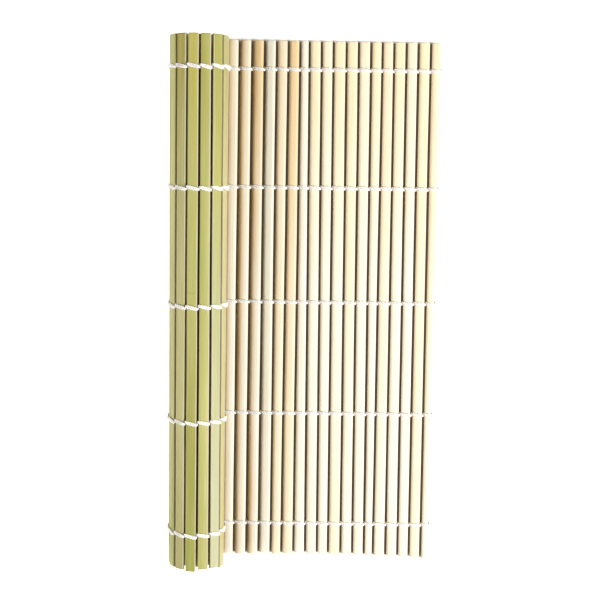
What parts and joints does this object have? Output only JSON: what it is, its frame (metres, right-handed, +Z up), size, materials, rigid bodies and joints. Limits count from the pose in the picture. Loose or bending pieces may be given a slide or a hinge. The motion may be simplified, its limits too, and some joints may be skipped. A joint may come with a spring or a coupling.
{
  "type": "sushi rolling mat",
  "caption": "Rolling mat of split bamboo slats twined with cotton string, partly rolled up: green skin outside on the roll, cream faces up on the flat part.",
  "frame": {"origin": "middle of the mat's footprint, on the surface that it lies on", "axes": "+Z up; the slats and the roll run along Y; the roll is at -X and the free edge of the flat part at +X"},
  "size_m": [0.1232, 0.241, 0.03],
  "materials": {
    "bamboo_cream": "smooth split bamboo flesh, satin",
    "bamboo_green": "natural bamboo skin, satin",
    "cotton_string": "soft twisted cotton"
  },
  "bodies": {
    "root": {"slat_01": "bamboo_cream", "slat_02": "bamboo_cream", "slat_03": "bamboo_cream", "slat_04": "bamboo_cream", "slat_05": "bamboo_cream", "slat_06": "bamboo_cream", "slat_07": "bamboo_cream", "slat_08": "bamboo_cream", "slat_09": "bamboo_cream", "slat_10": "bamboo_cream", "slat_11": "bamboo_cream", "slat_12": "bamboo_cream", "slat_13": "bamboo_cream", "slat_14": "bamboo_cream", "slat_15": "bamboo_cream", "slat_16": "bamboo_cream", "slat_17": "bamboo_cream", "slat_18": "bamboo_cream", "slat_19": "bamboo_cream", "slat_20": "bamboo_cream", "slat_21": "bamboo_green", "slat_22": "bamboo_green", "slat_23": "bamboo_green", "slat_24": "bamboo_green", "slat_25": "bamboo_green", "slat_26": "bamboo_green", "slat_27": "bamboo_green", "slat_28": "bamboo_green", "slat_29": "bamboo_green", "slat_30": "bamboo_green", "slat_31": "bamboo_green", "slat_32": "bamboo_green", "slat_33": "bamboo_green", "slat_34": "bamboo_green", "slat_35": "bamboo_green", "slat_36": "bamboo_green", "slat_37": "bamboo_green", "slat_38": "bamboo_green", "slat_39": "bamboo_green", "slat_40": "bamboo_green", "slat_41": "bamboo_green", "slat_42": "bamboo_green", "slat_43": "bamboo_green", "string_1_a": "cotton_string", "string_1_b": "cotton_string", "string_2_a": "cotton_string", "string_2_b": "cotton_string", "string_3_a": "cotton_string", "string_3_b": "cotton_string", "string_4_a": "cotton_string", "string_4_b": "cotton_string", "string_5_a": "cotton_string", "string_5_b": "cotton_string"}
  },
  "joints": []
}
